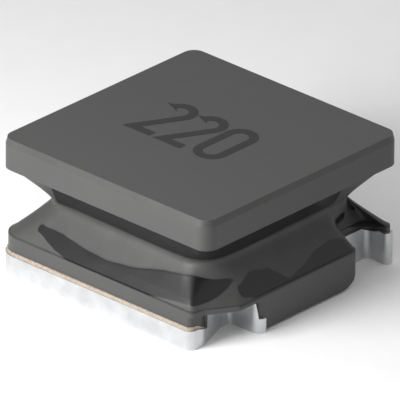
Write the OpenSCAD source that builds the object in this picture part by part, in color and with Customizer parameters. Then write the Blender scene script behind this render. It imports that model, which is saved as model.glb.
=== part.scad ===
// Shielded surface-mount power inductor: a ferrite drum core, wound with enamelled
// copper wire, closed round the winding by a ring of magnetic resin, and plated at
// both ends of its base flange with solderable terminals.
// Frame: millimetres, +Z up, origin at the middle of the footprint, pads on Z = 0.
// The notches that the leads come down beside are on the -Y side; the +Y side is plain.

/* [Core] */
// Width of the square top flange, both ways
top_w = 8.0; // [7.6:0.1:10]
// Height of the whole part, from the pads to the top face
total_h = 4.18; // [4.0:0.02:5.4]
// Thickness of the top flange
top_t = 0.94; // [0.7:0.02:1.2]
// Thickness of the base flange, without its plating
base_t = 1.085; // [1.0:0.005:1.3]
// Diameter of the round post between the flanges
post_d = 3.6; // [3.0:0.05:3.8]
// Radius of the top flange's upright corners
top_corner_r = 0.42; // [0.2:0.02:0.8]
// Bevel round the top face, measured inward
bevel_in = 0.05; // [0.02:0.01:0.15]
// Bevel round the top face, measured down
bevel_down = 0.20; // [0.1:0.02:0.4]

/* [Base flange] */
// Length of the base flange between its two end faces
base_l = 8.0; // [7.6:0.1:10]
// Distance from the middle to the plain side of the base flange
back_y = 4.00; // [3.7:0.02:5]
// Radius of the two corners on the plain side
back_r = 0.60; // [0.3:0.02:1.2]
// Distance from the middle to the face of the bulge between the notches
bulge_y = 4.07; // [3.9:0.01:5]
// Distance from the middle to the bulge's end beside the shallow notch
bulge_left = 1.89; // [1.6:0.01:2.1]
// Distance from the middle to the bulge's end beside the lead notch
bulge_right = 2.20; // [1.9:0.01:2.3]
// Distance from the middle to the floors of both notches
notch_y = 2.935; // [2.85:0.005:3.2]
// Distance from the middle to the tip of the blunt corner lobe
blunt_y = 3.38; // [3.25:0.01:3.6]
// Thickness of the lip that the flange keeps over the shallow notch
lip_t = 0.16; // [0.1:0.01:0.3]
// Distance from the middle to where the lip runs into the bulge's face
lip_x = 2.70; // [2.4:0.02:3]
// Distance from the middle to the tip of the slim hooked corner lobe
hook_y = 3.71; // [3.6:0.01:4]
// Thickness of the hooked lobe at its root
hook_root_t = 0.16; // [0.14:0.01:0.4]
// Thickness of the hooked lobe at its tip
hook_tip_t = 0.21; // [0.2:0.01:0.4]
// Radius rolled under the bulge beside the lead notch
bulge_roll_r = 0.62; // [0.3:0.02:0.8]
// Radius along the bulge's upper edge and its end beside the lead notch
bulge_edge_r = 0.12; // [0.05:0.01:0.3]

/* [Terminals] */
// Thickness of the fired base layer
fired_t = 0.035; // [0.02:0.005:0.08]
// Thickness of the tin over it
tin_t = 0.045; // [0.02:0.005:0.08]
// Length of each pad under the part, from the end face inward
pad_l = 2.15; // [1.6:0.05:2.6]
// Height of the tin on the end faces
tin_end_h = 0.60; // [0.4:0.02:0.8]
// Strip of the fired layer left showing above the tin
fired_show = 0.105; // [0.04:0.005:0.2]
// Height of the plating in the shallow notch and along the plain side
tin_side_h = 0.45; // [0.3:0.01:0.6]
// Height of the plating in the notch that takes the lead
tin_hook_h = 0.98; // [0.7:0.01:1.0]
// Depth of the dip in the plating's edge, in the corner of the lead notch
tin_dip = 0.12; // [0.05:0.01:0.3]
// How far the plating wraps on to the end of the bulge
tin_wrap = 0.20; // [0.05:0.01:0.4]

/* [Winding] */
// Outside diameter of the enamelled wire
wire_d = 0.50; // [0.36:0.01:0.52]
// Whole turns, counted past the part turn between the leads
turns = 5; // [4:1:5]
// Length of each lead soldered under the part
lead_l = 1.65; // [1.0:0.05:2.0]
// Distance from an end face to the middle of its lead hole
hole_in = 1.20; // [1.1:0.02:1.5]
// Distance from the notch floors to the middle of the lead holes
hole_back = 0.435; // [0.42:0.005:0.6]

/* [Resin] */
// Width of the resin ring at its waist
waist_w = 6.4; // [6.2:0.05:7.2]
// Corner radius of the resin ring at its waist
waist_r = 0.9; // [0.4:0.05:2.4]
// Width of the resin ring where it meets the top flange
resin_top_w = 7.76; // [7.0:0.02:7.8]
// Set-back of the resin from the edge of the base flange
resin_inset = 0.03; // [0.01:0.01:0.2]
// Sharpness of the waist: a small value gives straight flanks
waist_soft = 0.15; // [0.05:0.01:0.6]

/* [Fits] */
// Gap between the winding and what it is wound in
coil_gap = 0.01; // [0.005:0.005:0.03]
// Gap round a lead in the resin and the solder
lead_gap = 0.01; // [0.005:0.005:0.03]
// Width of the holes and grooves beyond the wire that lies in them
hole_gap = 0.12; // [0.08:0.02:0.2]

/* [Hidden] */
$fn = 64;

plating_t = fired_t + tin_t;
base_top = plating_t + base_t;
window_top = total_h - top_t;
wire_r = wire_d / 2;
hole_r = (wire_d + hole_gap) / 2;
hole_x = base_l / 2 - hole_in;
hole_y = notch_y - hole_back;
pass = 1;                          // length that a cutter runs past what it cuts

// ---- outline of the base flange -------------------------------------------------
blunt_flat = 0.45;                 // flat at the tip of the blunt lobe
blunt_ramp = 1.20;                 // length of the slope behind it
// From the blunt lobe round to the plain side: [x, y, corner radius].
base_outline = [
    [-base_l / 2, -blunt_y, 0.15],
    [-base_l / 2 + blunt_flat, -blunt_y, 0.30],
    [-base_l / 2 + blunt_flat + blunt_ramp, -notch_y, 0.30],
    [-bulge_left, -notch_y, 0.24],
    [-bulge_left, -bulge_y, 0.22],
    [bulge_right, -bulge_y, 0.18],
    [bulge_right, -notch_y, 0.30],
    [base_l / 2 - hook_root_t, -notch_y, 0.27],
    [base_l / 2 - hook_tip_t, -hook_y, 0.07],
    [base_l / 2, -hook_y, 0.12],
    [base_l / 2, back_y, back_r],
    [-base_l / 2, back_y, back_r]
];

// The same above the shallow notch, where the lip closes it.
lip_outline = concat(
    [[-base_l / 2, -blunt_y - 0.06, 0.15], [-base_l / 2 + blunt_flat, -blunt_y - 0.16, 0.30],
     [-lip_x, -bulge_y, 0.30]],
    [for (i = [5 : len(base_outline) - 1]) base_outline[i]]);

function flat(p) = [p[0], p[1]];
function unit(v) = v / norm(v);
function cross_z(a, b) = a[0] * b[1] - a[1] * b[0];

// Corner i of an outline, grown outward by g, as the points of its arc. Growing adds to
// an outer corner's radius and takes from an inner one's, so the walls stay parallel.
arc_steps = 8;
function corner(points, i, g) =
    let (n = len(points), here = flat(points[i]),
         a = unit(here - flat(points[(i + n - 1) % n])),
         b = unit(flat(points[(i + 1) % n]) - here),
         out_a = [a[1], -a[0]], out_b = [b[1], -b[0]],
         tip = here + g * (out_a + out_b) / (1 + out_a * out_b),
         side = sign(cross_z(a, b)),
         r = max(points[i][2] + side * g, 0.02),
         turn = acos(a * b),
         start = tip - a * r * tan(turn / 2),
         centre = start - side * r * out_a)
    [for (k = [0 : arc_steps])
        let (t = side * turn * k / arc_steps, s = side * r * out_a)
        centre + [s[0] * cos(t) - s[1] * sin(t), s[0] * sin(t) + s[1] * cos(t)]];

module base_plan(g = 0, outline = base_outline) {
    polygon([for (i = [0 : len(outline) - 1]) each corner(outline, i, g)]);
}

// ---- drum core ------------------------------------------------------------------
// A square plate whose upright faces lean in by "lean" over its height.
module leaning_plate(w, r, h, lean) {
    straight = w / 2 - r;
    side = [[-w / 2, 0], [w / 2, 0], [w / 2 - lean, h], [lean - w / 2, h]];
    for (turn = [0, 90])
        rotate([0, 0, turn]) rotate([90, 0, 0])
            linear_extrude(2 * straight, center = true) polygon(side);
    for (x = [-1, 1], y = [-1, 1])
        translate([x * straight, y * straight, 0]) cylinder(h, r, r - lean);
}

module top_flange() {
    translate([0, 0, window_top])
        leaning_plate(top_w, top_corner_r, top_t - bevel_down, 0);
    translate([0, 0, total_h - bevel_down])
        leaning_plate(top_w, top_corner_r, bevel_down, bevel_in);
}

// Section of what is cut away to round an edge, with the metal towards -X and -Y.
module edge_waste(r) {
    difference() {
        translate([-r, -r]) square(r + pass);
        translate([-r, -r]) circle(r);
    }
}

module bulge_roundings() {
    // upper edge of the bulge
    translate([0, -bulge_y, base_top]) rotate([90, 0, 90])
        linear_extrude(2 * bulge_right + pass, center = true)
            mirror([1, 0]) edge_waste(bulge_edge_r);
    // its end beside the lead notch: upper edge, and the roll underneath
    translate([bulge_right, -notch_y - plating_t, base_top]) rotate([90, 0, 0])
        linear_extrude(bulge_y) edge_waste(bulge_edge_r);
    translate([bulge_right, -notch_y - plating_t, plating_t]) rotate([90, 0, 0])
        linear_extrude(bulge_y) mirror([0, 1]) edge_waste(bulge_roll_r);
}

// The holes beside the notches and the grooves under the base that the leads lie in.
module hole_plan() {
    translate([hole_x, -hole_y]) circle(hole_r);
}

module groove_plan() {
    translate([hole_x - hole_r, -hole_y]) square([2 * hole_r, lead_l]);
    for (y = [0, lead_l])
        translate([hole_x, y - hole_y]) circle(hole_r);
}

lead_z = plating_t + wire_r;        // height of a lead's centre line under the part
groove_top = lead_z + hole_r;
solder_top = base_top - wire_r;      // height that the solder has risen to in the holes

module lead_ways() {
    for (side = [0, 1]) mirror([side, 0, 0]) {
        translate([0, 0, -pass]) linear_extrude(base_top + 2 * pass) hole_plan();
        translate([0, 0, -pass]) linear_extrude(groove_top + pass) groove_plan();
    }
}

module drum_core() {
    color("#2b2b2a") {
        difference() {
            union() {
                translate([0, 0, plating_t]) linear_extrude(base_t) base_plan();
                translate([0, 0, base_top - lip_t])
                    linear_extrude(lip_t) base_plan(0, lip_outline);
            }
            bulge_roundings();
            lead_ways();
        }
        translate([0, 0, base_top]) cylinder(window_top - base_top, r = post_d / 2);
        top_flange();
    }
}

// ---- winding --------------------------------------------------------------------
// The wire comes up the right-hand hole, runs on to the post, up in one layer, back down
// in a second one, and out to the left-hand hole.
bend_r = 0.30;                      // bend of a lead's centre line
bend_steps = 5;
turn_steps = 24;
tube_sides = 8;
inner_r = post_d / 2 + wire_r + coil_gap;
outer_r = inner_r + wire_d;
low_z = base_top + wire_r + coil_gap / 2;
high_z = window_top - wire_r - coil_gap;
hole_far = norm([hole_x, hole_y]);
hole_angle = atan2(-hole_y, hole_x);   // of the right-hand hole
start_angle = hole_angle + acos(inner_r / hole_far);
end_angle = 180 - hole_angle - acos(outer_r / hole_far) + 360 * turns;
layer_1 = 360 * (high_z - low_z) / wire_d;
step_over = 45;
end_z = high_z - (end_angle - start_angle - layer_1 - step_over) * wire_d / 360;

function at(r, angle, z) = [r * cos(angle), r * sin(angle), z];
first_touch = at(inner_r, start_angle, low_z);
last_touch = at(outer_r, end_angle, end_z);
way_in = unit([first_touch[0] - hole_x, first_touch[1] + hole_y, 0]);
way_out = unit([-hole_x - last_touch[0], -hole_y - last_touch[1], 0]);

// The part of a lead in its hole and groove, from its soldered end upward.
function lead(way, z) = concat(
    [[0, -lead_l, 0], [0, -bend_r, 0]],
    [for (k = [1 : bend_steps])
        let (t = 90 * k / bend_steps) [0, bend_r * (sin(t) - 1), bend_r * (1 - cos(t))]],
    [for (k = [0 : bend_steps])
        let (t = 90 * k / bend_steps)
        [way[0] * bend_r * (1 - cos(t)), way[1] * bend_r * (1 - cos(t)),
         z - lead_z - bend_r + bend_r * sin(t)]]);

lead_in = [for (p = lead([way_in[0], -way_in[1]], low_z))
    [hole_x + p[0], -hole_y - p[1], lead_z + p[2]]];
lead_out = [for (p = lead([way_out[0], way_out[1]], low_z))
    [-hole_x - p[0], -hole_y - p[1], lead_z + p[2]]];

chord = cos(180 / turn_steps);      // keeps the straight steps clear of the post
function reversed(list) = [for (i = [len(list) - 1 : -1 : 0]) list[i]];
layer_1_steps = ceil(layer_1 / 360 * turn_steps);
layer_2 = end_angle - start_angle - layer_1 - step_over;
layer_2_steps = ceil(layer_2 / 360 * turn_steps);
wire_path = concat(
    lead_in,
    [for (k = [0 : layer_1_steps])
        at(inner_r / chord, start_angle + layer_1 * k / layer_1_steps,
           low_z + (high_z - low_z) * k / layer_1_steps)],
    [for (k = [0 : layer_2_steps])
        at(outer_r / chord, end_angle - layer_2 * (1 - k / layer_2_steps),
           high_z + (end_z - high_z) * k / layer_2_steps)],
    reversed(lead_out));

// A round tube along a path. Each ring's frame is carried on from the ring before it.
function tangent(p, i) = unit(p[min(i + 1, len(p) - 1)] - p[max(i - 1, 0)]);
function carried(side, along) = unit(side - (side * along) * along);

module tube(p, r, sides) {
    last = len(p) - 1;
    rings = [for (i = 0, s = carried([1, 0, 0.01], tangent(p, 0)); i <= last;
                  i = i + 1, s = carried(s, tangent(p, min(i, last))))
        let (u = cross(tangent(p, i), s))
        for (k = [0 : sides - 1]) p[i] + r * (cos(360 * k / sides) * s + sin(360 * k / sides) * u)];
    polyhedron(rings, concat(
        [[for (k = [0 : sides - 1]) k]],
        [for (i = [0 : last - 1], k = [0 : sides - 1])
            let (a = i * sides, b = a + sides, n = (k + 1) % sides)
            [a + n, a + k, b + k, b + n]],
        [[for (k = [sides - 1 : -1 : 0]) last * sides + k]]));
}

module winding() {
    color("#b5652f") tube(wire_path, wire_r, tube_sides);
}

// ---- resin ring -----------------------------------------------------------------
// Distance from the axis to a rounded square of half width w and corner radius r.
function square_reach(angle, w, r) =
    let (c = w - r, x = abs(cos(angle)), y = abs(sin(angle)), s = max(x, y), t = min(x, y))
    w * t / s <= c ? w / s : c * (x + y) + sqrt(max(r * r - c * c * (x - y) * (x - y), 0));

// Distance from the axis to the edge of the flange's top, with its lip and lead notch.
lip_slope = (bulge_y - blunt_y - 0.16) / (base_l / 2 - blunt_flat - lip_x);
function notch_reach(angle) =
    let (x = cos(angle), ax = max(abs(x), 0.001), ay = max(-sin(angle), 0.001))
    x < 0 ? (bulge_y + lip_slope * lip_x) / (ay + lip_slope * ax)
          : max(notch_y / ay, (bulge_right - bulge_edge_r / 2) / ax);
function edge_reach(angle) =
    (sin(angle) > 0 ? square_reach(angle, min(base_l / 2, back_y), back_r)
                    : min(square_reach(angle, min(base_l / 2, bulge_y - bulge_edge_r / 2), back_r),
                          notch_reach(angle))) - resin_inset;

waist_z = (base_top + window_top) / 2;
ring_steps = 120;
level_steps = 16;
coil_room_r = outer_r / chord + wire_r + coil_gap;

// 0 at the waist, 1 at both flanges, with flanks as straight as waist_soft allows.
function flank(level) =
    let (half = (window_top - base_top) / 2, z = level * half)
    (sqrt(z * z + waist_soft * waist_soft) - waist_soft)
        / (sqrt(half * half + waist_soft * waist_soft) - waist_soft);

function outer_ring(level) =
    [for (i = [0 : ring_steps - 1])
        let (angle = 360 * i / ring_steps,
             waist = square_reach(angle, waist_w / 2, waist_r),
             edge = level < 0 ? edge_reach(angle)
                              : square_reach(angle, resin_top_w / 2, top_corner_r))
        at(waist + (edge - waist) * flank(level), angle,
           waist_z + level * (window_top - base_top) / 2)];

// The inside of the ring holds the coil, and opens out along each lead to its hole. A
// lead runs straight, so it is its distance from the axis, the angle at which it passes
// closest, and the angle and height that it has to reach: [reach, foot, hole, z0, z1].
leads = [[inner_r, start_angle, hole_angle, low_z, low_z],
         [outer_r, end_angle % 360, 180 - hole_angle, end_z, low_z]];
lead_room = wire_r + 2 * lead_gap;  // from a lead's centre line to the resin
lead_room_r = hole_far + lead_room;
side_angle = asin(lead_room / hole_far) + 360 / ring_steps;

function swing(angle, from) = ((angle - from + 540) % 360) - 180;
// Share of the way from the coil to the hole at an angle: under 0 or over 1 is off it.
function run_share(lead, angle) = swing(angle, lead[1]) / swing(lead[2], lead[1]);
function on_lead(lead, angle) =
    run_share(lead, angle) > 0
    && run_share(lead, angle) < 1 + side_angle / abs(swing(lead[2], lead[1]));
function lead_reach(lead, angle) =
    min((lead[0] + lead_room) / cos(swing(angle, lead[1])), lead_room_r);
function lead_length(lead) = sqrt(hole_far * hole_far - lead[0] * lead[0]) - bend_r;
function lead_height(lead, angle) =
    let (run = lead[0] * tan(abs(swing(angle, lead[1]))))
    lead[3] + (lead[4] - lead[3]) * min(run / lead_length(lead), 1);
// A sloping lead needs more room above it than a level one.
function lead_top(lead, angle) =
    let (slope = (lead[3] - lead[4]) / lead_length(lead))
    lead_height(lead, angle) + lead_room * sqrt(1 + slope * slope);
function lead_here(angle) = [for (lead = leads) if (on_lead(lead, angle)) lead];

function inner_ring(z, ways, above = 0) =
    [for (i = [0 : ring_steps - 1])
        let (angle = 360 * i / ring_steps, here = lead_here(angle),
             top = len(here) > 0 ? lead_top(here[0], angle) : low_z + lead_room)
        at(ways && len(here) > 0 ? max(lead_reach(here[0], angle), coil_room_r) : coil_room_r,
           angle, z > 0 ? z : top + above)];

module resin_shield() {
    ledge = 0.05;
    rings = concat(
        [for (j = [0 : level_steps]) outer_ring(2 * j / level_steps - 1)],
        [inner_ring(window_top, false), inner_ring(0, false, ledge),
         inner_ring(0, true), inner_ring(base_top, true)]);
    color("#3a3a38") polyhedron(
        [for (ring = rings) each ring],
        [for (j = [0 : len(rings) - 1], i = [0 : ring_steps - 1])
            let (a = j * ring_steps, b = (j + 1) % len(rings) * ring_steps, n = (i + 1) % ring_steps)
            each [[a + n, b + i, a + i], [a + n, b + n, b + i]]]);
}

// ---- terminals ------------------------------------------------------------------
// "hand" is 1 for the right-hand terminal and -1 for the left-hand one.
slope_start = base_l / 2 - 0.25;    // where the plating's top edge starts to come down
slope_end = base_l / 2 - 0.72;      // where it has come down to its height on the sides
notch_rise = 0.40;                  // length of its climb from the bulge into the shallow notch
tip_face = 0.05;                    // depth of the band at the hooked lobe's tip
dip_r = 0.60;                       // radius of the dip in the lead notch

// Where a terminal's walls start beside the bulge: a wrap on its end, or clear of it.
bulge_clear = 0.30;
function side_start(hand) = hand > 0 ? bulge_right + bulge_clear : bulge_left - tin_wrap;

// What a terminal's walls keep clear of, above and beside them.
module wall_limits(hand, end_h) {
    // the plain side up to the pad's inner edge, and the notched side up to its start
    translate([-base_l, 0, -pass])
        cube([3 * base_l / 2 + plating_t - pad_l, 2 * back_y, total_h]);
    translate([-base_l, -2 * bulge_y, -pass])
        cube([base_l + side_start(hand), 2 * bulge_y, total_h]);
    // the end face and the plain side, and the shallow notch on the left-hand terminal
    translate([base_l / 2 - hook_tip_t / 2, tip_face - hook_y, end_h])
        cube([pass, 2 * back_y, pass]);
    rotate([90, 0, 0]) translate([0, 0, -2 * back_y]) linear_extrude(2 * back_y)
        polygon([[0, tin_side_h], [slope_end, tin_side_h], [slope_start, end_h],
                 [base_l, end_h], [base_l, total_h], [0, total_h]]);
    if (hand < 0)
        rotate([90, 0, 0]) linear_extrude(2 * bulge_y) {
            polygon([[0, tin_side_h], [bulge_left, tin_side_h],
                     [bulge_left + notch_rise, total_h], [0, total_h]]);
            polygon([[slope_end, tin_side_h], [slope_start, end_h], [base_l, end_h],
                     [base_l, total_h], [slope_end, total_h]]);
        }
    // the dip in the corner of the lead notch
    if (hand > 0)
        translate([base_l / 2 - hook_root_t, -notch_y - hook_root_t, tin_hook_h + dip_r - tin_dip])
            sphere(dip_r);
}

// A plating wall between two growths of the outline.
module plating_walls(hand, inner_g, outer_g, low, end_h) {
    difference() {
        translate([0, 0, low]) linear_extrude(tin_hook_h - low) difference() {
            hand_plan(hand, outer_g);
            hand_plan(hand, inner_g);
        }
        wall_limits(hand, end_h);
    }
}

// The base's outline with the given terminal's end towards +X.
module hand_plan(hand, g) {
    mirror([hand > 0 ? 0 : 1, 0]) base_plan(g);
}

module pad(hand, inner_g, low, high) {
    pad_start = base_l / 2 + plating_t - pad_l;
    beside_bulge = max(pad_start, side_start(hand));
    translate([0, 0, low]) linear_extrude(high - low) intersection() {
        hand_plan(hand, inner_g);
        union() {
            translate([pad_start, -notch_y]) square([pad_l, 2 * bulge_y]);
            translate([beside_bulge, -2 * bulge_y]) square([base_l, 2 * bulge_y]);
        }
    }
}

module plating(hand, inner_g, outer_g, low, high, end_h) {
    mirror([hand > 0 ? 0 : 1, 0, 0]) difference() {
        union() {
            plating_walls(hand, inner_g, outer_g, low, end_h);
            pad(hand, inner_g, low, high);
        }
        translate([0, 0, -pass]) linear_extrude(groove_top + pass) groove_plan();
    }
}

module fired_layer(hand) {
    color("#97826f") plating(hand, 0, fired_t, tin_t, plating_t, tin_end_h + fired_show);
}

module tin_coat(hand) {
    color("#b4b7b7") plating(hand, fired_t, plating_t, 0, tin_t, tin_end_h);
}

module fired_layer_left() { fired_layer(-1); }
module fired_layer_right() { fired_layer(1); }
module tin_coat_left() { tin_coat(-1); }
module tin_coat_right() { tin_coat(1); }

// The solder fills the hole and the groove round the lead, flush with the tin.
module lead_clearance() {
    r = wire_r + lead_gap;
    translate([hole_x, -hole_y + bend_r, lead_z]) rotate([-90, 0, 0])
        cylinder(lead_l - bend_r + lead_gap, r = r);
    translate([hole_x, -hole_y, lead_z + bend_r]) cylinder(base_top, r = r);
    translate([hole_x, -hole_y + bend_r, lead_z + bend_r]) rotate([0, 90, 0])
        rotate([0, 0, -90]) rotate_extrude(angle = 90) translate([bend_r, 0]) circle(r);
}

module solder_joint_right() {
    color("#c3c5c6") difference() {
        union() {
            linear_extrude(solder_top) hole_plan();
            linear_extrude(groove_top) groove_plan();
        }
        lead_clearance();
    }
}

module solder_joint_left() { mirror([1, 0, 0]) solder_joint_right(); }

drum_core();
winding();
resin_shield();
fired_layer_left();
fired_layer_right();
tin_coat_left();
tin_coat_right();
solder_joint_left();
solder_joint_right();
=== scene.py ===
"""Looks of a shielded surface-mount inductor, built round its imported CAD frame.

Lengths below are in millimetres and are turned into metres by MM where they are used.
The part stands on the floor at Z = 0, with its two notches on the -Y side.
"""
import math

import bmesh
import bpy
from mathutils import Matrix, Vector, noise


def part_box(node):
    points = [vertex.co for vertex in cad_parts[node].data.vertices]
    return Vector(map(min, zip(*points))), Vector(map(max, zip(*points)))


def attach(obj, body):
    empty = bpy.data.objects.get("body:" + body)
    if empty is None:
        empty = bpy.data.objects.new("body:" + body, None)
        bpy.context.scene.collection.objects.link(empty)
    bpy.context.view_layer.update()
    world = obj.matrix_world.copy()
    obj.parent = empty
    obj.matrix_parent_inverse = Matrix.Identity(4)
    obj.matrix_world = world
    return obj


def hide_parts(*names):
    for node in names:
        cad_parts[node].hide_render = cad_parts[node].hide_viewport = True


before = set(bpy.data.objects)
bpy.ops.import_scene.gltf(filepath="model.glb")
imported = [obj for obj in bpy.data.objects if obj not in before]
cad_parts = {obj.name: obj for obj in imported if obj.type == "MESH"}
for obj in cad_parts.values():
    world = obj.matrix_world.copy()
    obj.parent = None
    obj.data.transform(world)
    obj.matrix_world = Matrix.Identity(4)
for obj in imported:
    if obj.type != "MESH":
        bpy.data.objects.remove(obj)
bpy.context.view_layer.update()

MM = 0.001


# ---- sizes taken from the frame, in millimetres ------------------------------------

def box_mm(node):
    low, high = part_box(node)
    return Vector(low) / MM, Vector(high) / MM


core_high = box_mm("drum_core")[1]
resin_low, resin_high = box_mm("resin_shield")
TOP_Z = core_high.z
TOP_W = 2 * core_high.x
BASE_TOP = resin_low.z
WINDOW_TOP = resin_high.z


# ---- node materials ----------------------------------------------------------------

class Graph:
    """A material's node tree, with short calls for the nodes used here."""

    def __init__(self, name):
        self.material = bpy.data.materials.new(name)
        self.material.use_nodes = True
        self.tree = self.material.node_tree
        self.nodes = self.tree.nodes
        self.shader = self.nodes["Principled BSDF"]
        self.place = self.nodes.new("ShaderNodeTexCoord").outputs["Object"]

    def set(self, **values):
        """Values or links for the shader's sockets, with underscores for spaces."""
        for key, value in values.items():
            self.put(self.shader.inputs[key.replace("_", " ")], value)
        return self

    def put(self, socket, value):
        if isinstance(value, bpy.types.NodeSocket):
            self.tree.links.new(value, socket)
        else:
            socket.default_value = value

    def noise(self, scale, detail=3.0, roughness=0.5, where=None):
        node = self.nodes.new("ShaderNodeTexNoise")
        self.put(node.inputs["Vector"], where or self.place)
        node.inputs["Scale"].default_value = scale
        node.inputs["Detail"].default_value = detail
        node.inputs["Roughness"].default_value = roughness
        return node.outputs["Fac"]

    def stretched(self, x, y, z):
        node = self.nodes.new("ShaderNodeMapping")
        self.put(node.inputs["Vector"], self.place)
        node.inputs["Scale"].default_value = (x, y, z)
        return node.outputs["Vector"]

    def cells(self, scale):
        node = self.nodes.new("ShaderNodeTexVoronoi")
        self.put(node.inputs["Vector"], self.place)
        node.inputs["Scale"].default_value = scale
        return node.outputs["Distance"]

    def span(self, value, low, high, to_low=0.0, to_high=1.0):
        node = self.nodes.new("ShaderNodeMapRange")
        for key, number in (("Value", value), ("From Min", low), ("From Max", high),
                            ("To Min", to_low), ("To Max", to_high)):
            self.put(node.inputs[key], number)
        return node.outputs["Result"]

    def maths(self, operation, a, b=0.0):
        node = self.nodes.new("ShaderNodeMath")
        node.operation = operation
        self.put(node.inputs[0], a)
        self.put(node.inputs[1], b)
        return node.outputs["Value"]

    def mix(self, share, a, b):
        node = self.nodes.new("ShaderNodeMix")
        node.data_type = "RGBA"
        for socket, value in ((node.inputs["Factor"], share), (node.inputs["A"], a),
                              (node.inputs["B"], b)):
            self.put(socket, value)
        return node.outputs["Result"]

    def attribute(self, name):
        node = self.nodes.new("ShaderNodeAttribute")
        node.attribute_name = name
        return node.outputs["Fac"]

    def bump(self, height, strength, distance):
        node = self.nodes.new("ShaderNodeBump")
        self.put(node.inputs["Height"], height)
        node.inputs["Strength"].default_value = strength
        node.inputs["Distance"].default_value = distance
        return node.outputs["Normal"]


def grey(level, warm=0.0):
    """A near-neutral colour from an sRGB level of 0 to 255."""
    def linear(value):
        share = value / 255
        return share / 12.92 if share <= 0.04045 else ((share + 0.055) / 1.055) ** 2.4
    return (linear(level + warm), linear(level), linear(level - warm), 1.0)


def ferrite_material():
    g = Graph("ferrite")
    grain = g.noise(26000, 3.0, 0.6)
    cloud = g.noise(900, 2.0, 0.5)
    pores = g.span(g.cells(9000), 0.02, 0.10, 0.0, 1.0)
    tone = g.mix(g.span(cloud, 0.35, 0.65), grey(59, 0.5), grey(63, 0.5))
    tone = g.mix(g.span(grain, 0.40, 0.62, 0.0, 0.25), tone, grey(74))
    tone = g.mix(g.maths("MULTIPLY", g.span(pores, 0, 1, 1, 0), 0.3), tone, grey(44))
    relief = g.bump(g.maths("ADD", g.maths("MULTIPLY", grain, 0.6), pores), 0.10, 5e-6)
    return g.set(Base_Color=tone, Roughness=g.span(cloud, 0.3, 0.7, 0.40, 0.50),
                 Normal=relief).material


def resin_material():
    g = Graph("resin")
    grain = g.noise(20000, 4.0, 0.6)
    cloud = g.noise(1400, 3.0, 0.5)
    # Share of the darker patches and of the strip of painted shade under the top flange, read
    # from the ring's vertices.
    dark_patch_and_shade = g.span(g.attribute("dark_patch_and_painted_shade"), 0.48, 0.54)
    plain_tone = g.mix(g.span(cloud, 0.3, 0.7), grey(54, 0.6), grey(60, 0.6))
    plain_tone = g.mix(g.span(grain, 0.45, 0.65, 0.0, 0.2), plain_tone, grey(70))
    # Near-black base colour over the darker patches and over the painted-shade strip under the
    # top flange.
    tone = g.mix(dark_patch_and_shade, plain_tone, grey(16))
    relief = g.bump(grain, 0.25, 8e-6)
    return g.set(Base_Color=tone, Roughness=g.span(dark_patch_and_shade, 0, 1, 0.55, 0.30),
                 Normal=relief).material


def tin_material():
    g = Graph("tin")
    brushed = g.noise(1.0, 4.0, 0.6, g.stretched(9000, 9000, 2200))
    cloud = g.noise(2200, 3.0, 0.55)
    tone = g.mix(g.span(cloud, 0.3, 0.7), grey(196, -1), grey(212, -1))
    relief = g.bump(brushed, 0.12, 6e-6)
    return g.set(Base_Color=tone, Metallic=1.0, Normal=relief,
                 Roughness=g.span(cloud, 0.3, 0.7, 0.34, 0.46)).material


def fired_material():
    g = Graph("fired_layer")
    grain = g.noise(18000, 3.0, 0.6)
    tone = g.mix(g.span(grain, 0.35, 0.65), grey(132, 11), grey(168, 13))
    return g.set(Base_Color=tone, Metallic=0.35, Roughness=g.span(grain, 0.3, 0.7, 0.5, 0.65),
                 Normal=g.bump(grain, 0.3, 8e-6)).material


def solder_material():
    g = Graph("solder")
    cloud = g.noise(2600, 4.0, 0.55)
    frost = g.cells(14000)
    tone = g.mix(g.span(cloud, 0.3, 0.7), grey(188), grey(214))
    return g.set(Base_Color=tone, Metallic=1.0, Roughness=g.span(cloud, 0.3, 0.7, 0.24, 0.38),
                 Normal=g.bump(frost, 0.15, 8e-6)).material


def enamel_material():
    g = Graph("enamelled_copper")
    cloud = g.noise(1800, 3.0, 0.5)
    tone = g.mix(g.span(cloud, 0.3, 0.7), (0.36, 0.115, 0.035, 1), (0.46, 0.165, 0.055, 1))
    return g.set(Base_Color=tone, Metallic=0.8, Roughness=g.span(cloud, 0.3, 0.7, 0.24, 0.34),
                 Coat_Weight=0.6, Coat_Roughness=0.12,
                 Normal=g.bump(cloud, 0.1, 1e-5)).material


def ink_material():
    g = Graph("ink")
    grain = g.noise(22000, 3.0, 0.6)
    tone = g.mix(g.span(grain, 0.35, 0.65), grey(22), grey(34))
    return g.set(Base_Color=tone, Roughness=g.span(grain, 0.3, 0.7, 0.5, 0.62),
                 Normal=g.bump(grain, 0.2, 5e-6)).material


def floor_material():
    g = Graph("floor_paper")
    grain = g.noise(900, 4.0, 0.6)
    tone = g.mix(g.span(grain, 0.3, 0.7), (0.90, 0.90, 0.90, 1), (0.92, 0.92, 0.92, 1))
    return g.set(Base_Color=tone, Roughness=0.9).material


FERRITE = ferrite_material()
RESIN = resin_material()
TIN = tin_material()
FIRED = fired_material()
SOLDER = solder_material()
ENAMEL = enamel_material()
INK = ink_material()
FLOOR = floor_material()


def dress(node, material):
    mesh_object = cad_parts[node]
    for place in mesh_object.material_slots:
        place.material = material


dress("drum_core", FERRITE)
dress("winding", ENAMEL)
for hand in ("left", "right"):
    dress("tin_coat_" + hand, TIN)
    dress("fired_layer_" + hand, FIRED)
    dress("solder_joint_" + hand, SOLDER)


# ---- resin -------------------------------------------------------------------------
# A finer ring than the CAD's, on the same flanks. Its lower edge follows the outline of
# the core's base, found by slicing the core, and its upper edge the outline of the top.

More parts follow.
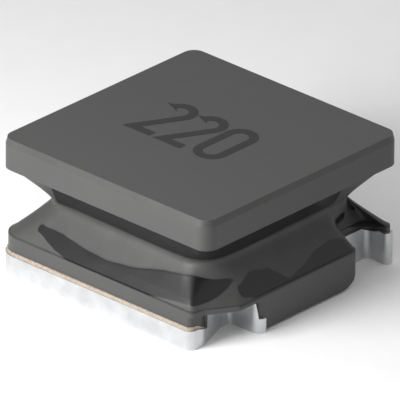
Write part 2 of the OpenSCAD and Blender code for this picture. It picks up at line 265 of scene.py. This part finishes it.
RING_STEPS = 900
LEVEL_STEPS = 88
WAIST_HALF = 3.20
WAIST_RADIUS = 0.90
WAIST_SOFT = 0.15
TOP_INSET = 0.12
TOP_RADIUS = 0.42
SLICE_DEPTH = 0.13                # how far below the base's top the core is sliced
WEB_WIDTH = 0.20                  # how far resin bridges the base's inward corners
WEB_SMOOTH = 0.30                 # length over which the bridging is spread
WEB_GAIN = 1.6                    # how much of the smoothed loop's gap is filled
WEB_POLISH = 3                    # points to either side in the last smoothing
FOOT_STEPS = 6                    # levels in the rounding where the resin ends
FOOT_OUT = 0.028
FOOT_UP = 0.042
FOOT_SINK = 0.002
INNER_SHARE = 0.80                # the inner skin's distance from the axis
WAVE = 0.012                      # unevenness of the poured surface
WAVE_ACROSS, WAVE_UP = 1.1, 1.6   # waves per millimetre
FADE_RATE = 8                     # how fast waves and pools die out at both flanges
PATCH_RISE = 0.012                 # how far the darker patches and the painted-shade strip stand out
PATCH_EDGE = 0.06                  # width of the patches' raised edge
PATCH_SPAN = 0.40                  # depth range that the patch-and-shade attribute holds


def slice_loop(node, height):
    """The outer loop of a node cut level at a height, as points in millimetres."""
    shape = bmesh.new()
    shape.from_mesh(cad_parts[node].data)
    parts = shape.verts[:] + shape.edges[:] + shape.faces[:]
    cut = bmesh.ops.bisect_plane(shape, geom=parts, plane_co=(0, 0, height * MM),
                                 plane_no=(0, 0, 1), dist=1e-9)["geom_cut"]
    near = {}
    for edge in (item for item in cut if isinstance(item, bmesh.types.BMEdge)):
        keys = [(round(v.co.x / MM, 4), round(v.co.y / MM, 4)) for v in edge.verts]
        if keys[0] != keys[1]:
            near.setdefault(keys[0], []).append(keys[1])
            near.setdefault(keys[1], []).append(keys[0])
    shape.free()
    here = max(near, key=lambda key: key[0] - key[1])
    loop, last = [here], None
    while True:
        ahead = [key for key in near[here] if key != last and key not in loop[1:]]
        ahead = [key for key in ahead if key != loop[0]] or ahead
        if not ahead or ahead[0] == loop[0]:
            break
        last, here = here, ahead[0]
        loop.append(here)
    points = [Vector(key) for key in loop]
    turn = sum(a.x * b.y - a.y * b.x for a, b in zip(points, points[1:] + points[:1]))
    return points if turn > 0 else points[::-1]


def even_loop(points, count):
    """The same loop as evenly spaced points."""
    ends = points[1:] + points[:1]
    lengths = [(b - a).length for a, b in zip(points, ends)]
    whole, spaced, at, passed = sum(lengths), [], 0, 0.0
    for index in range(count):
        wanted = whole * index / count
        while passed + lengths[at] < wanted:
            passed += lengths[at]
            at += 1
        spaced.append(points[at].lerp(ends[at], (wanted - passed) / lengths[at]))
    return spaced


def smooth_loop(points, reach):
    """The loop averaged over a run of points to either side."""
    count = len(points)
    weights = [math.exp(-(k / reach * 2) ** 2) for k in range(-reach, reach + 1)]
    total = sum(weights)
    return [sum((points[(i + k - reach) % count] * w for k, w in enumerate(weights)),
                Vector((0, 0))) / total for i in range(count)]


def bridged(points):
    """The loop with its inward corners filled out, and its outward ones left alone."""
    count = len(points)
    step = sum((points[i] - points[i - 1]).length for i in range(count)) / count
    soft = smooth_loop(points, round(WEB_SMOOTH / step))
    filled = []
    for i, point in enumerate(points):
        along = (points[(i + 1) % count] - points[i - 1]).normalized()
        outward = Vector((along.y, -along.x))
        growth = min(max((soft[i] - point).dot(outward) * WEB_GAIN, 0.0),
                     WEB_WIDTH)
        filled.append(point + outward * growth)
    return smooth_loop(filled, WEB_POLISH)


def square_reach(angle, half, radius):
    """Distance from the axis to a rounded square."""
    inner = half - radius
    x, y = abs(math.cos(angle)), abs(math.sin(angle))
    longer, shorter = max(x, y), min(x, y)
    if half * shorter / longer <= inner:
        return half / longer
    return inner * (x + y) + math.sqrt(max(radius ** 2 - (inner * (x - y)) ** 2, 0.0))


def flank(level):
    """0 at the waist and 1 at both flanges, with straight flanks between."""
    half = (WINDOW_TOP - BASE_TOP) / 2
    rise = math.hypot(level * half, WAIST_SOFT) - WAIST_SOFT
    return rise / (math.hypot(half, WAIST_SOFT) - WAIST_SOFT)


# Darker, glossier patches on each side: runs of circles, joined softly. Each circle is
# (place along the side, height, radius).
LEFT_PATCH = [(2.72, 1.58, 0.10), (1.9, 1.46, 0.20), (1.0, 1.33, 0.23), (0.1, 1.27, 0.25),
             (-0.9, 1.34, 0.27), (-1.9, 1.50, 0.31), (-2.8, 1.60, 0.32), (-3.35, 1.55, 0.25)]
FRONT_PATCH = [(-2.32, 1.42, 0.16), (-1.75, 1.40, 0.33), (-1.2, 1.36, 0.29), (-0.6, 1.10, 0.15),
              (0.1, 1.12, 0.24), (0.8, 1.22, 0.33), (1.4, 1.28, 0.33), (1.95, 1.28, 0.24)]
LEAD_PATCH = [(2.10, 1.70, 0.17), (2.40, 1.69, 0.19), (2.64, 1.67, 0.16)]
STRIP_HEIGHT = 2.34               # lower edge of the strip of painted shade under the top flange
STRIP_WAVE = 0.03
LEFT_STRIP_END = 2.2
FRONT_STRIP_END = 1.75
CORNER_START = -2.2               # from here to the corner the left patch shows in front
FAR = 9.0                         # a distance past every edge


def run_depth(circles, along, height):
    """Depth inside a run of circles: over 0 inside, under 0 outside, in millimetres."""
    depth = -FAR
    for (a0, h0, r0), (a1, h1, r1) in zip(circles, circles[1:]):
        span = Vector((a1 - a0, h1 - h0))
        share = Vector((along - a0, height - h0)).dot(span) / span.length_squared
        share = min(max(share, 0.0), 1.0)
        share = share * share * (3 - 2 * share) * 0.5 + share * 0.5
        gap = math.hypot(along - a0 - span.x * share, height - h0 - span.y * share)
        depth = max(depth, r0 + (r1 - r0) * share - gap)
    return depth


def painted_shade_strip_depth(along, height, start, end):
    """Depth inside the strip of painted shade under the top flange, which thins out at its two
    ends.
    """
    edge = STRIP_HEIGHT + STRIP_WAVE * math.sin(along * 1.3)
    return min(height - edge, along - start, (end - along) * 0.9 + (WINDOW_TOP - height) * 0.3)


def patch_and_shade_depth(x, y, height):
    """Depth inside whichever darker patch or strip of painted shade is at a point of the flank.
    """
    if abs(x) >= abs(y):
        side = -1 if x < 0 else 1
        along = y if side < 0 else -y
        depth = run_depth(LEFT_PATCH, along, height)
        return max(depth, painted_shade_strip_depth(along, height, -FAR, LEFT_STRIP_END))
    side = -1 if y < 0 else 1
    along = x if side < 0 else -x
    depth = max(run_depth(FRONT_PATCH, along, height), run_depth(LEAD_PATCH, along, height))
    if side < 0 and along < CORNER_START:
        depth = max(depth, run_depth(LEFT_PATCH, y, height))
    return max(depth, painted_shade_strip_depth(along, height, -FAR, FRONT_STRIP_END))


def add_resin():
    outline = slice_loop("drum_core", BASE_TOP - SLICE_DEPTH)
    base = bridged(even_loop(outline, RING_STEPS))
    top_half = TOP_W / 2 - TOP_INSET
    rows = [0.0] * FOOT_STEPS + [k / LEVEL_STEPS for k in range(1, LEVEL_STEPS + 1)]
    shape = bmesh.new()
    # Each vertex's share of the darker patches and of the painted-shade strip under the top
    # flange.
    dark_patch_and_shade = shape.verts.layers.float.new("dark_patch_and_painted_shade")
    rings = []
    for row, share in enumerate(rows):
        ring = []
        for edge in base:
            angle = math.atan2(edge.y, edge.x)
            outward = edge.normalized()
            waist = outward * square_reach(angle, WAIST_HALF, WAIST_RADIUS)
            level = 2 * share - 1
            top_edge = outward * square_reach(angle, top_half, TOP_RADIUS)
            goal = edge if level < 0 else top_edge
            place = waist.lerp(goal, flank(level))
            height = BASE_TOP + share * (WINDOW_TOP - BASE_TOP)
            if row < FOOT_STEPS:                       # the rounded foot
                turn = math.pi / 2 * row / FOOT_STEPS
                place = edge - outward * FOOT_OUT * (1 - math.sin(turn))
                height = BASE_TOP + FOOT_UP * (1 - math.cos(turn)) - FOOT_SINK
            depth = patch_and_shade_depth(place.x, place.y, height)
            fade = min(share * FADE_RATE, (1 - share) * FADE_RATE, 1)
            wave = noise.noise(Vector((place.x * WAVE_ACROSS, place.y * WAVE_ACROSS,
                                       height * WAVE_UP)))
            push = WAVE * wave * fade
            push += PATCH_RISE * min(max(depth / PATCH_EDGE + 0.5, 0), 1) * fade
            vert = shape.verts.new(Vector((*(place + outward * push), height)) * MM)
            vert[dark_patch_and_shade] = min(max(depth / PATCH_SPAN + 0.5, 0), 1)
            ring.append(vert)
        rings.append(ring)
    inner = [[shape.verts.new(Vector((v.co.x * INNER_SHARE, v.co.y * INNER_SHARE,
                                      height * MM)))
              for v in rings[LEVEL_STEPS // 2]] for height in (WINDOW_TOP, BASE_TOP)]
    rings += inner
    for low, high in zip(rings, rings[1:] + rings[:1]):
        for i in range(RING_STEPS):
            n = (i + 1) % RING_STEPS
            shape.faces.new((low[i], low[n], high[n], high[i])).smooth = True
    bmesh.ops.recalc_face_normals(shape, faces=shape.faces)
    data = bpy.data.meshes.new("resin_ring")
    shape.to_mesh(data)
    shape.free()
    data.materials.append(RESIN)
    ring_object = bpy.data.objects.new("resin_ring", data)
    bpy.context.scene.collection.objects.link(ring_object)
    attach(ring_object, "root")
    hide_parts("resin_shield")


add_resin()


# ---- printed numerals --------------------------------------------------------------
# Plain figures that name nothing, printed on the top. They read from +Y to -Y.

DIGITS = "220"
DIGIT_HEIGHT = 1.95
DIGIT_WIDTH = 0.80
DIGIT_PITCH = 1.16
STROKE = 0.27
INK_THICKNESS = 0.006
MITRE_LIMIT = 0.45                # stops a stroke's corners from growing long
PRINT_MIDDLE = (0.05, 0.22)


def arc(centre, radius, start, end, steps=14):
    """Points of an elliptical arc, in degrees."""
    turn = [math.radians(start + (end - start) * k / steps) for k in range(steps + 1)]
    return [Vector((centre[0] + radius[0] * math.cos(t), centre[1] + radius[1] * math.sin(t)))
            for t in turn]


def digit_path(digit):
    """The middle line of a figure, in a box of DIGIT_WIDTH by DIGIT_HEIGHT."""
    half, tall = DIGIT_WIDTH / 2, DIGIT_HEIGHT
    if digit == "0":
        bend = half * 0.95
        top = arc((0, tall - bend), (half, bend), 0, 180)
        return top + arc((0, bend), (half, bend), 180, 360) + top[:1]
    bend = half * 0.98
    return arc((0, tall - bend), (half, bend), 165, -32) + [Vector((-half, 0)), Vector((half, 0))]


def add_numerals():
    shape = bmesh.new()
    half = STROKE / 2
    top = TOP_Z + INK_THICKNESS
    for index, digit in enumerate(DIGITS):
        path = digit_path(digit)
        closed = digit == "0"
        path = path[:-1] if closed else path
        count = len(path)
        shift = (index - (len(DIGITS) - 1) / 2) * DIGIT_PITCH
        sides = []
        for i, point in enumerate(path):
            before = path[i - 1] if closed or i else point
            after = path[(i + 1) % count] if closed or i < count - 1 else point
            a, b = point - before, after - point
            a, b = (a or b).normalized(), (b or a).normalized()
            mitre = Vector((-(a + b).y, (a + b).x)).normalized()
            width = half / max(mitre.dot(Vector((-a.y, a.x))), MITRE_LIMIT)
            sides.append((point + mitre * width, point - mitre * width))
        rows = []
        for pair in sides:
            row = []
            for height in (TOP_Z, top):
                for p in pair:
                    across = p.x + shift
                    up = p.y - DIGIT_HEIGHT / 2
                    row.append(shape.verts.new(Vector((PRINT_MIDDLE[0] + up,
                                                       PRINT_MIDDLE[1] - across, height)) * MM))
            rows.append(row)
        pairs = list(zip(rows, rows[1:])) + ([(rows[-1], rows[0])] if closed else [])
        for a, b in pairs:
            for i, j in ((0, 1), (1, 3), (3, 2), (2, 0)):
                shape.faces.new((a[i], a[j], b[j], b[i]))
        if not closed:
            for end in (rows[0], rows[-1]):
                shape.faces.new((end[0], end[1], end[3], end[2]))
    bmesh.ops.recalc_face_normals(shape, faces=shape.faces)
    data = bpy.data.meshes.new("numerals")
    shape.to_mesh(data)
    shape.free()
    data.materials.append(INK)
    numerals = bpy.data.objects.new("numerals", data)
    bpy.context.scene.collection.objects.link(numerals)
    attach(numerals, "root")


add_numerals()


# ---- camera ------------------------------------------------------------------------

CAMERA_AZIMUTH = -47.155
CAMERA_ELEVATION = 26.502
CAMERA_ROLL = 0.445
CAMERA_DISTANCE = 435.4
CAMERA_LENS = 1384.9
AIM_SIDE = 0.0065
AIM_UP = 1.8884


def add_camera():
    azimuth, elevation = math.radians(CAMERA_AZIMUTH), math.radians(CAMERA_ELEVATION)
    back = Vector((math.sin(azimuth) * math.cos(elevation),
                   -math.cos(azimuth) * math.cos(elevation), math.sin(elevation)))
    right = Vector((math.cos(azimuth), math.sin(azimuth), 0))
    up = back.cross(right)
    roll = math.radians(CAMERA_ROLL)
    side = right * math.cos(roll) + up * math.sin(roll)
    top = up * math.cos(roll) - right * math.sin(roll)
    data = bpy.data.cameras.new("camera")
    data.lens = CAMERA_LENS
    data.clip_start, data.clip_end = 0.01, 10
    camera = bpy.data.objects.new("camera", data)
    place = right * AIM_SIDE + up * AIM_UP + back * CAMERA_DISTANCE
    turn = Matrix((side, top, back)).transposed().to_4x4()
    camera.matrix_world = Matrix.Translation(place * MM) @ turn
    bpy.context.scene.collection.objects.link(camera)
    bpy.context.scene.camera = camera


add_camera()


# ---- floor and light ---------------------------------------------------------------

FLOOR_RADIUS = 3.0                # metres
WORLD_LEVEL = 0.6
KEY_PLACE = (-26, 4, 16)
KEY_SIZE = (14, 14)
KEY_POWER = 0.012                 # watts


def add_floor():
    shape = bmesh.new()
    bmesh.ops.create_circle(shape, cap_ends=True, segments=96, radius=FLOOR_RADIUS)
    data = bpy.data.meshes.new("floor")
    shape.to_mesh(data)
    shape.free()
    floor = bpy.data.objects.new("floor", data)
    floor.data.materials.append(FLOOR)
    bpy.context.scene.collection.objects.link(floor)


def add_area(name, place, aim, size, power):
    data = bpy.data.lights.new(name, "AREA")
    data.shape = "RECTANGLE"
    data.size, data.size_y = size[0] * MM, size[1] * MM
    data.energy = power
    lamp = bpy.data.objects.new(name, data)
    lamp.location = Vector(place) * MM
    lamp.rotation_mode = "QUATERNION"
    lamp.rotation_quaternion = (Vector(place) - Vector(aim)).to_track_quat("Z", "Y")
    lamp.visible_camera = False
    bpy.context.scene.collection.objects.link(lamp)


def add_world(level):
    world = bpy.data.worlds.new("studio")
    world.use_nodes = True
    world.node_tree.nodes["Background"].inputs["Color"].default_value = (1, 1, 1, 1)
    world.node_tree.nodes["Background"].inputs["Strength"].default_value = level
    bpy.context.scene.world = world


add_floor()
add_world(WORLD_LEVEL)
add_area("key_left", KEY_PLACE, (0, 0, 3), KEY_SIZE, KEY_POWER)
bpy.context.scene.view_settings.view_transform = "Standard"
